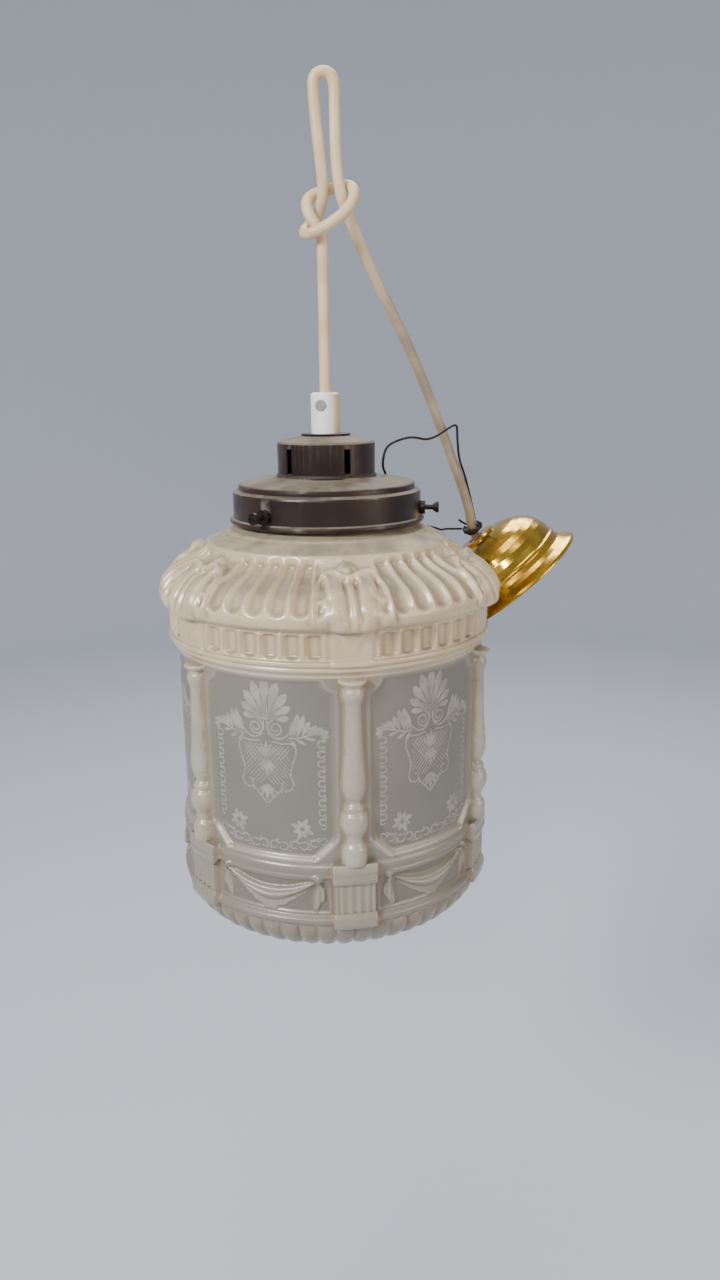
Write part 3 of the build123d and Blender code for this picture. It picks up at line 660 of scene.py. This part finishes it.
def frieze_relief(rows):
    """Concave flutes between fillets, a block at each column and the bracket's leaf drooping on it."""
    a, b, r, z = bay_grid(rows)
    x = a * radians(1) * r
    within = (((b + 21.6) / 7.2) % 1 - 0.5) * 7.2 * radians(1) * r
    past = np.maximum(np.maximum(-286.0 - z, z + 277.0), 0)
    bowl = np.maximum(1 - np.abs(within / 4.7) ** 2.6 - (past / 2.0) ** 2, 0) ** 0.7
    fillet = bell(np.abs(within), 5.75, 0.8) * step(z, -288.4, -286.8)
    h = (0.75 * fillet - 2.2 * bowl) * (np.abs(b) < 21.9)
    in_block = step(PIER_HALF - np.abs(x), -1.8, 1.4) * step(z, -293.4, -291.0)
    face = 1.1 - np.maximum(0, -z - 288) * 0.15
    h = h * (1 - in_block) + in_block * face
    reach = np.clip((z + 288.0) / 15.0, 0, 1)                 # 1 at the lip, 0 at the tip
    half = 7.4 * np.sqrt(reach) * (0.6 + 0.4 * reach)
    droop = step(half - np.abs(x), -1.2, 2.0) * (0.3 + 0.8 * reach ** 1.2) * step(reach, 0, 0.25)
    return h + droop, np.zeros(h.shape)


BALUSTER = [
    (7.2, -297.4), (7.4, -299), (7.0, -301), (4.9, -302.2), (4.7, -303.4), (5.7, -305), (5.9, -307.6),
    (5.1, -310), (4.4, -312.4), (4.6, -326), (5.2, -340), (6.3, -353), (6.4, -358.4), (5.2, -363),
    (3.7, -366), (3.9, -367.4), (5.6, -368.6), (5.6, -370), (4.9, -371), (6.6, -373), (7.4, -376),
    (7.5, -378.6), (6.8, -382), (5.0, -385), (4.3, -387.4), (4.7, -389.6), (6.2, -391.6), (6.8, -394),
    (6.8, -400), (6.4, -404),
]


def wall_relief(rows):
    """Recessed satin fields with cut corners, and a baluster on each column."""
    a, b, _, z = bay_grid(rows)
    u = b * radians(1) * FIELD_R
    x = a * radians(1) * WALL_R
    inside = np.minimum.reduce([
        38.2 - np.abs(u),
        -299.0 - z,
        z + 401.0,
        (38.2 + 401.0 - 12.4 - np.abs(u) + z) / sqrt(2),
    ])
    corner = 8.6 - np.hypot(np.abs(u) - 39.4, z + 298.0)       # a hollow quarter round at the top corners
    inside = np.minimum(inside, -corner)
    low = step(z, -385, -396)                                 # the bottom edge is deeper and wider
    sunk = step(inside, 0.0, 3.0)
    h = -(1.55 + 0.45 * low * (inside < 3.4)) * sunk
    h += (0.22 + 0.55 * low) * bell(inside, -0.5, 0.8)
    h += 0.25 * bell(inside, 4.2, 0.6) * low
    for side in (-1, 1):                                      # beaded ends of the lower border
        for bx, bz in ((25.6, -400.6), (37.4, -389.2)):
            h += 1.3 * np.exp(-((u - side * bx) ** 2 + (z - bz) ** 2) / 1.3 ** 2)
    shape = np.array(BALUSTER)
    rb = np.interp(-z, -shape[:, 1], shape[:, 0])
    post = 0.1 + np.sqrt(np.maximum(rb ** 2 - x ** 2, 0)) * 0.98
    edge = step(np.abs(x) - rb, 0.0, 1.6)
    h = np.where(np.abs(x) < rb, np.maximum(post, h), h)
    # Painted highlight: the fields' edges, the bottom edge most, are kept out of the satin mask so that
    # they take the paler glass colour.
    pale = bell(inside, -0.5, 1.0) * (0.25 + 0.75 * low)
    pale += low * (inside > 0) * (inside < 3.2)
    return h, edge * np.clip(0.78 + 0.22 * sunk - 0.8 * pale, 0, 1)


def lower_relief(rows):
    """A draped swag in each bay, a fluted pedestal under each column, and thin frames."""
    a, b, _, z = bay_grid(rows)
    u = b * radians(1) * 90.0
    x = a * radians(1) * 90.5
    h = np.zeros(u.shape)
    # sunk field with a thin raised frame
    from_side, from_top, rounding = 34.6 - np.abs(u), -411.6 - z, 4.0
    inside = np.minimum.reduce([from_side, from_top, z + 432.4])
    corner = (rounding - np.maximum(rounding - from_side, 0) ** 2 / 8
              - np.maximum(rounding - from_top, 0) ** 2 / 8)
    in_corner = (from_side < rounding) & (from_top < rounding)
    frame_at = np.minimum(inside, np.where(in_corner, corner - 2.4, inside))
    h += 0.75 * bell(frame_at, 0.3, 0.55) - 0.35 * step(frame_at, 0.8, 1.8)
    satin = 0.55 + 0.45 * step(frame_at, 0.8, 2.0)
    # swag
    t = np.clip(np.abs(u) / 27.0, 0, 1.2)
    top = -417.4 + 5.6 * t ** 2
    bottom = -426.2 + 13.6 * t ** 1.7
    hem = -431.6 + 18.6 * t ** 1.45 + 0.5 * np.cos(u * 2 * pi / 5.6) * (1 - t)
    band = (top - z) / np.maximum(top - bottom, 0.6)
    cloth = np.sqrt(np.maximum(1 - (2 * np.clip(band, 0, 1) - 1) ** 2, 0)) * (t < 1.02)
    h += 2.5 * cloth - 0.45 * cloth * np.cos(band * 2 * pi * 2.4)
    under = (bottom - z) / np.maximum(bottom - hem, 0.5)
    fringe = step(under, 0.0, 0.12) * step(under, 1.06, 0.94) * (t < 0.99)
    h += fringe * (0.8 + 0.35 * bell(under, 0.93, 0.16)) * (1 - 0.4 * t)
    satin *= 1 - np.clip(cloth + fringe, 0, 1)
    # knots and tails
    for side in (-1, 1):
        su = u * side
        h += 2.2 * np.exp(-((su - 27.6) ** 2 + (z + 411.6) ** 2) / 2.3 ** 2)
        drop_by = np.clip((-z - 412.5) / 20.4, 0, 1)
        left = 27.2 - 3.2 * np.sin(pi * drop_by * 0.55)
        right = 28.2 + 3.4 * np.sin(pi * np.clip(drop_by * 1.15, 0, 1))
        tip = 26.8
        left += (tip - left) * step(drop_by, 0.78, 1.0)
        right += (tip - right) * step(drop_by, 0.5, 1.0)
        inside_tail = np.minimum(su - left, right - su) * ((z < -411) & (z > -433.2))
        tail = step(inside_tail, -0.1, 0.9)
        h += tail * (1.25 + 0.45 * np.cos((su - 27.5) * 2.2))
        satin *= 1 - tail
    # pedestal
    half = np.where(z > -411.4, 12.2, np.where(z < -433.0, 11.8, 11.2))
    on = step(half - np.abs(x), -0.35, 0.65) * step(z, -439.0, -438.0) * step(z, -402.1, -403.0)
    face = np.where(z > -411.4, 4.9, np.where(z < -433.0, 4.7, 4.1))
    shaft = step(z, -410.9, -412.2) * step(z, -433.4, -432.2)
    flute = np.cos(np.clip(x / 9.2, -1, 1) * pi * 4) * 0.5 + 0.5
    face = face - shaft * (np.abs(x) < 9.2) * 0.9 * flute ** 0.7
    face -= 0.5 * bell(z, -411.8, 0.6)
    base = np.interp(z, [-440, -436, -433, -412, -409, -402], [1.6, 2.2, 0.0, 0.0, 1.2, 1.2])
    h = h * (1 - on) + on * (face - base * 0.6)
    return h, satin * (1 - on)


def under_relief(rows):
    """Gadroons under the shade that run in to a plain middle."""
    _, b, r, z = bay_grid(rows)
    within = (((b + 30) / (60 / 9)) % 1 - 0.5) * 2
    lobe = np.sqrt(np.maximum(1 - within ** 2, 0))
    h = (lobe * 2.7 - 1.5) * np.clip(r / 88, 0, 1) * step(r, 20, 34) * step(z, -440, -441.6)
    h += 0.9 * bell(r, 18, 1.6)
    return h, np.zeros(h.shape)


def seam_height(level):
    """How far the relief stands out round a joint between two parts of the shade at this height."""
    near = bay_grid(np.zeros((1, 2)))[0][0]
    if abs(level - LIP_JOINT) < 0.01:          # the leaf that hangs over the lip
        block = step(PIER_HALF - np.abs(near) * radians(1) * LIP_R, -1.8, 1.4)
        return np.tile(1.1 * block + 0.7 * np.exp(-(near / 4.4) ** 4), 6)
    if abs(level - FOOT_JOINT) < 0.01:         # the baluster's foot on its pedestal
        return np.tile(np.sqrt(np.maximum(6.6 ** 2 - (near * radians(1) * WALL_R) ** 2, 0)) * 0.98, 6)
    return np.zeros(COLUMNS)


def blur(field, across, along):
    """Box blur round the shade (it wraps) and down it."""
    total = sum(np.roll(field, k, axis=1) for k in range(-across, across + 1)) / (2 * across + 1)
    padded = np.pad(total, ((along, along), (0, 0)), "edge")
    return sum(padded[k:k + len(field)] for k in range(2 * along + 1)) / (2 * along + 1)


def part_of_shade(obj):
    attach(obj, "shade")
    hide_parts("glass_shade")


def inside_line(z_top, z_bottom, pole):
    """Rows of (radius, height) down the plain inside, between these heights."""
    inner = np.array(INSIDE, dtype=float)
    clear = 0.3

    def point(level):
        return (float(np.interp(-level, -inner[:, 1], inner[:, 0])), level)

    rows = [point(z_top)]
    rows += [tuple(p) for p in inner if p[1] < z_top - clear and (pole or p[1] > z_bottom + clear)]
    if not pole:
        rows.append(point(z_bottom))
    return np.array(rows)


def raised(rows, high):
    """The outside's radii and heights once the relief is added, with joints kept closed."""
    count = len(rows)
    edge = np.minimum(np.arange(count), np.arange(count)[::-1])
    first, last = seam_height(rows[0, 1]), seam_height(rows[-1, 1])
    nearest = np.where(np.arange(count)[:, None] < count / 2, first, last)
    reach = 3.0 if LIP_JOINT in (round(rows[0, 1]), round(rows[-1, 1])) else 1.0
    share = np.clip(edge / reach, 0, 1)[:, None]
    high = high * share + nearest * (1 - share)
    out = outward(rows)
    from_lip = np.clip(np.abs(rows[:, 1] - LIP_JOINT) / 4.0, 0, 1)[:, None]
    out = out * from_lip + np.array([[1.0, 0.0]]) * (1 - from_lip)     # straight out round the lip's joint
    out /= np.linalg.norm(out, axis=1, keepdims=True)
    return [rows[:, k][:, None] + out[:, k][:, None] * high for k in (0, 1)]


def ring_faces(n_out, total, pole):
    """Faces between neighbouring rows, and the two discs that close the bottom where there is a pole."""
    pairs = [(k, k + 1) for k in range(total - 1) if not (pole and k == n_out - 1)] + [(total - 1, 0)]
    here = np.arange(COLUMNS)
    after = (here + 1) % COLUMNS
    quads = [np.stack([p + here, q + here, q + after, p + after], axis=1)
             for p, q in np.array(pairs) * COLUMNS]
    faces = np.concatenate(quads).tolist()
    if pole:
        faces.append([(n_out - 1) * COLUMNS + int(k) for k in here])
        faces.append([n_out * COLUMNS + int(k) for k in here[::-1]])
    return faces


def sharpen_ends(mesh, end_rows):
    """Marks the edges that run along these rows as sharp."""
    ends = np.zeros(len(mesh.vertices), dtype=bool)
    for row in end_rows:
        ends[row * COLUMNS:(row + 1) * COLUMNS] = True
    pairs = np.zeros(len(mesh.edges) * 2, dtype=np.int64)
    mesh.edges.foreach_get("vertices", pairs)
    one, other = pairs.reshape(-1, 2).T
    sharp = mesh.attributes.get("sharp_edge") or mesh.attributes.new("sharp_edge", "BOOLEAN", "EDGE")
    sharp.data.foreach_set("value", ends[one] & ends[other] & (one // COLUMNS == other // COLUMNS))


def glass_ring(name, points, softness, pitch, relief, pole=False):
    """One part of the shade: the moulded outside, the plain inside, and caps between them."""
    rows = profile(points, softness, pitch)
    high, satin = (np.tile(field, (1, 6)) for field in relief(rows))
    # How far each point lies below its surroundings, which the glass material darkens as painted shade.
    hollow = np.clip(blur(high, 5, 2) - high, 0, 1)
    r, z = raised(rows, high)
    turn = np.arange(COLUMNS) * 2 * pi / COLUMNS - pi / 2      # the first column faces -Y
    outside = np.stack([r * np.cos(turn), r * np.sin(turn), z], axis=2)
    line = inside_line(rows[0, 1], rows[-1, 1], pole)
    inside = np.stack([line[:, 0][:, None] * np.cos(turn), line[:, 0][:, None] * np.sin(turn),
                       line[:, 1][:, None] * np.ones(COLUMNS)], axis=2)
    corners = np.concatenate([outside.reshape(-1, 3), inside[::-1].reshape(-1, 3)])
    n_out, total = len(rows), len(rows) + len(line)
    obj = mesh_object(name, corners, ring_faces(n_out, total, pole), GLASS)
    for key, field in (("satin", satin), ("hollow", hollow)):
        layer = obj.data.attributes.new(key, "FLOAT", "POINT")
        values = np.zeros(len(corners), dtype=np.float32)
        values[:n_out * COLUMNS] = field.ravel()
        layer.data.foreach_set("value", values)
    sharpen_ends(obj.data, (0, n_out - 1, n_out, total - 1))
    tidy_winding(obj)
    part_of_shade(obj)


def tidy_winding(obj):
    """Turns every face out, if the first row's faces look in."""
    mesh = obj.data
    first = mesh.polygons[0]
    c, n = first.center, first.normal
    if c.x * n.x + c.y * n.y + 1e-9 < 0 and abs(n.z) < 0.9:
        mesh.flip_normals()


glass_ring("glass_shoulder", SHOULDER, 0.7, 0.78, shoulder_relief)
glass_ring("glass_frieze", FRIEZE, 0.28, 0.45, frieze_relief)
glass_ring("glass_wall", WALL, 0.3, 1.02, wall_relief)
glass_ring("glass_lower", LOWER, 0.3, 0.6, lower_relief)
glass_ring("glass_underside", UNDER, 2.0, 1.5, under_relief, pole=True)
NECK = [(49.2, -213.6), (49.8, -214.6), (49.8, -219.6), (49.2, -220.0), (46.3, -220.3), (46.3, -227),
        (42.3, -227), (42.3, -213.6)]
neck = spin("glass_neck", soft(NECK, 0.5), GLASS, 240)
part_of_shade(neck)


# ---- etched ornament ----------------------------------------------------------------------------
class Etching:
    """Thin raised strokes and leaves on the satin field of one bay, as (across, height) in millimetres."""

    def __init__(self):
        self.shapes = []

    def stroke(self, points, width):
        line = np.array(points, dtype=float)
        run = np.gradient(line, axis=0)
        run /= np.maximum(np.linalg.norm(run, axis=1, keepdims=True), 1e-9)
        side = np.stack([-run[:, 1], run[:, 0]], axis=1)
        half = np.broadcast_to(np.asarray(width, dtype=float) / 2, (len(line),))[:, None]
        left, right = line + side * half, line - side * half
        self.shapes.append([(left[i], left[i + 1], right[i + 1], right[i]) for i in range(len(line) - 1)])

    def both(self, points, width):
        """The stroke and its mirror image."""
        self.stroke(points, width)
        self.stroke([(-x, z) for x, z in points], width)

    def leaf(self, root, tip, width, mirror=True, fullest=0.5):
        """A leaf, widest at this share of its length."""
        root, tip = np.array(root, dtype=float), np.array(tip, dtype=float)
        t = np.linspace(0, 1, 9)
        line = root + (tip - root) * t[:, None]
        bend = log(0.5) / log(fullest)
        wide = width * np.sin(pi * np.clip(t, 0.03, 0.985) ** bend) ** 0.75
        (self.both if mirror else self.stroke)([tuple(p) for p in line], wide)

    def curl(self, centre, radius, turns, start, width, inward=0.75):
        """A spiral and its mirror image."""
        t = np.linspace(0, 1, int(14 * turns) + 4)
        r = radius * (1 - inward * t)
        at = radians(start) + 2 * pi * turns * t
        self.both([(centre[0] + a * cos(b), centre[1] + a * sin(b)) for a, b in zip(r, at)], width)


def draw_etching():
    e = Etching()
    # shell crest: a middle lobe and four each side, parted by fine lines
    shell = np.array((0, -322.8))

    def way(tilt):
        return np.array((sin(radians(tilt)), cos(radians(tilt))))

    for tilt, long, wide in ((0, 23.4, 5.2), (19, 22.0, 5.4), (39, 19.4, 5.0), (60, 16.4, 4.4),
                             (82, 13.6, 3.4)):
        e.leaf(shell + way(tilt) * 4.6, shell + way(tilt) * long, wide, tilt > 0, 0.7)
    for tilt, long in ((9.5, 12), (29, 11.5), (50, 10), (71, 9)):
        e.leaf(shell, shell + way(tilt) * long, 0.8)
    e.curl((5.7, -327.0), 4.7, 1.7, 100, 0.95)
    e.both([(1.0, -323), (1.0, -326.5), (2.2, -330.4), (5.4, -332.6), (9.2, -332.4), (12.2, -330.4),
            (14.4, -327.4)], 1.0)
    # leafy sprays
    e.both([(12.6, -331.6), (17, -331.8), (22, -330.2), (27, -328.8), (31, -329), (33.4, -330.2)], 0.9)
    for root, tip, wide in (
        ((14, -331.8), (15.6, -322.4), 2.8), ((15.6, -331.6), (18.2, -318.2), 3.6),
        ((17.4, -331.2), (21.4, -318.8), 3.4), ((20, -330.8), (24.4, -322.0), 3.2),
        ((22.6, -330), (28, -324.2), 3.2), ((25.6, -329.2), (31.2, -325.4), 3.0),
        ((28.6, -328.8), (34.2, -327.6), 3.2), ((30.6, -329.2), (34.6, -330.8), 2.2),
        ((30, -329.4), (32.8, -333.0), 1.8), ((16.4, -332), (22.2, -335.0), 1.7),
        ((20.6, -330.8), (27.2, -332.4), 1.6), ((13.4, -332.2), (17.0, -336.0), 1.5),
    ):
        e.leaf(root, tip, wide, True, 0.62)
    # shield with lattice, framed by C shapes
    edge = [(3.4, -334.4), (9, -335.2), (14.4, -334.6), (16.8, -337.4), (16.4, -342), (14.4, -347),
            (13.4, -351.6), (14.2, -355.0)]
    e.both(edge, 0.85)
    e.both([(14.2, -355), (15.2, -357.4), (13.6, -360.8), (10.6, -362.0), (8.4, -360.4), (8.8, -357.4),
            (11, -356.6)], 0.85)
    e.both([(8.2, -361), (6.2, -363.4), (3.4, -366.2), (0, -369.8)], 0.9)
    for k in range(12):
        shift = -15 + 2.35 * k
        for side in (-1, 1):
            points = [(side * (shift + s), -336.6 - s * 1.15) for s in np.linspace(0, 19, 12)]
            points = [(px, pz) for px, pz in points
                      if abs(px) < min(13.8 - max(0, -352 - pz) * 0.55, 13.6) and pz > -361]
            if len(points) > 2:
                e.stroke(points, 0.42)
    for root, leaves in (
        (-343.5, ((0, -334, 1.8), (3.0, -335.6, 1.6), (5.2, -338.2, 1.3))),
        (-345.2, ((0, -354.6, 2.0), (3.4, -352, 1.7), (5.4, -349.2, 1.4), (2.4, -346.2, 1.6))),
        (-358.6, ((0, -368.4, 1.9), (3.2, -366.0, 1.5), (5.4, -363.4, 1.4))),
    ):
        for x, z, wide in leaves:
            e.leaf((0, root), (x, z), wide, x > 0)
    for x in (2.6, 5.2, 7.8):
        e.leaf((x, -361.6 - x * 0.1), (x + 1.0, -367.4 + x * 0.6), 1.1)
    # side chains
    for k in range(9):
        z = -334.6 - 5.5 * k
        e.curl((30.2, z), 2.0, 0.85, 30, 0.8, inward=0.12)
        e.curl((30.6, z - 2.9), 1.3, 0.7, 200, 0.65, inward=0.1)
    # flowers in the lower corners
    flower = np.array((19.0, -383))
    for k in range(8):
        turn = radians(22 + 45 * k)
        petal = np.array((cos(turn), sin(turn)))
        e.leaf(flower + 1.1 * petal, flower + (6.6 if k % 2 else 5.4) * petal, 2.6)
    e.both([(22, -389), (25.6, -389.8), (28.4, -387.6)], 0.8)
    # scrolls along the lower border
    for k, x in enumerate((3.0, 8.7, 14.4, 20.1, 25.6)):
        z = -393.6 + 2.2 * (x / 26) ** 2
        e.curl((x, z), 2.9, 0.82, 200 if k % 2 else 20, 0.85, inward=0.45)
        e.curl((x - 2.9, z + (2.2 if k % 2 else -2.2)), 1.4, 0.7, 90, 0.7, inward=0.2)
    e.curl((30.2, -389.6), 2.2, 0.8, 250, 0.8, inward=0.4)
    return e.shapes


def etching_mesh():
    """The six bays' strokes, each a thin slab just proud of the satin field."""
    foot, crown, lift = 88.6, 88.94, 0.012         # strokes that cross lie a little above one another
    shapes = draw_etching()
    points, faces = [], []
    for bay in range(6):
        middle = radians(60 * bay + 30) - pi / 2
        for k, shape in enumerate(shapes):
            top = crown + lift * (k % 8)
            for quad in shape:
                s = len(points)
                for radius in (foot, top):
                    for u, z in quad:
                        turn = middle + u / FIELD_R
                        points.append((radius * cos(turn), radius * sin(turn), z))
                faces.append((s + 4, s + 5, s + 6, s + 7))
                faces += [(s + i, s + (i + 1) % 4, s + 4 + (i + 1) % 4, s + 4 + i) for i in range(4)]
    part_of_shade(mesh_object("etched_ornament", points, faces, ETCH, 40))


etching_mesh()


# ---- CAD pieces that stay as they are -----------------------------------------------------------
KEPT = {
    "holder_cap": BAKELITE, "holder_skirt": BAKELITE, "holder_insert": PORCELAIN, "thread_shell": NIPPLE,
    "centre_contact": NIPPLE, "side_contact": NIPPLE, "holder_terminal_screws": STEEL,
    "holder_conductor_live": BROWN, "holder_conductor_neutral": BLUE, "nipple": NIPPLE, "nipple_nuts": ZINC,
    "terminal_block": BLOCK, "terminal_block_screws": STEEL, "canopy_conductor_live": BROWN,
    "canopy_conductor_neutral": BLUE, "gallery": BRONZE, "holder_cup": BRONZE, "top_washer": BLACKED,
    "screw_bosses": BLACKED, "thumb_screw_1": BLACKED, "thumb_screw_2": BLACKED, "thumb_screw_3": BLACKED,
    "cord_grip": IVORY, "grip_screw": STEEL, "canopy_dome": BRASS, "canopy_collar": BRASS,
}
for name, finish in KEPT.items():
    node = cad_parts[name]
    node.data.materials.clear()
    node.data.materials.append(finish)


# ---- floor and light ----------------------------------------------------------------------------
def backdrop():
    """A pale round floor that curves up into a wall all round."""
    look = Look("backdrop", (0.52, 0.55, 0.605), 0.9)
    floor, flat, bend, top = -900.0, 2300, 700, 2600
    outline = [(0, floor), (flat, floor)]
    for t in range(10, 91, 10):
        outline.append((flat + bend * sin(radians(t)), floor + bend * (1 - cos(radians(t)))))
    outline.append((flat + bend, top))
    spin("backdrop", outline, look.material, 96, closed=False)


def area_light(name, at, aim, size, power, colour):
    data = bpy.data.lights.new(name, "AREA")
    data.shape, data.size, data.energy, data.color = "DISK", size, power, colour
    light = bpy.data.objects.new(name, data)
    bpy.context.scene.collection.objects.link(light)
    light.location = at
    light.rotation_euler = (Vector(aim) - Vector(at)).to_track_quat("-Z", "Y").to_euler()


backdrop()
middle = (0.0, 0.0, -0.3)
area_light("key", (-1.45, -1.2, 0.8), middle, 0.6, 52, (0.97, 0.96, 1.0))
area_light("window", (-0.55, -1.7, 0.75), middle, 0.22, 9, (1.0, 1.0, 1.0))
area_light("fill", (1.5, -1.2, 0.2), middle, 1.2, 16, (1.0, 0.88, 0.74))
area_light("back", (0.5, 1.3, 1.1), middle, 1.2, 26, (0.97, 0.98, 1.0))
area_light("top", (-0.2, -0.2, 1.5), middle, 1.0, 12, (1.0, 0.97, 0.92))
world = bpy.data.worlds.new("world")
bpy.context.scene.world = world
world.use_nodes = True
world.node_tree.nodes["Background"].inputs["Color"].default_value = (0.86, 0.90, 0.96, 1)
world.node_tree.nodes["Background"].inputs["Strength"].default_value = 0.34
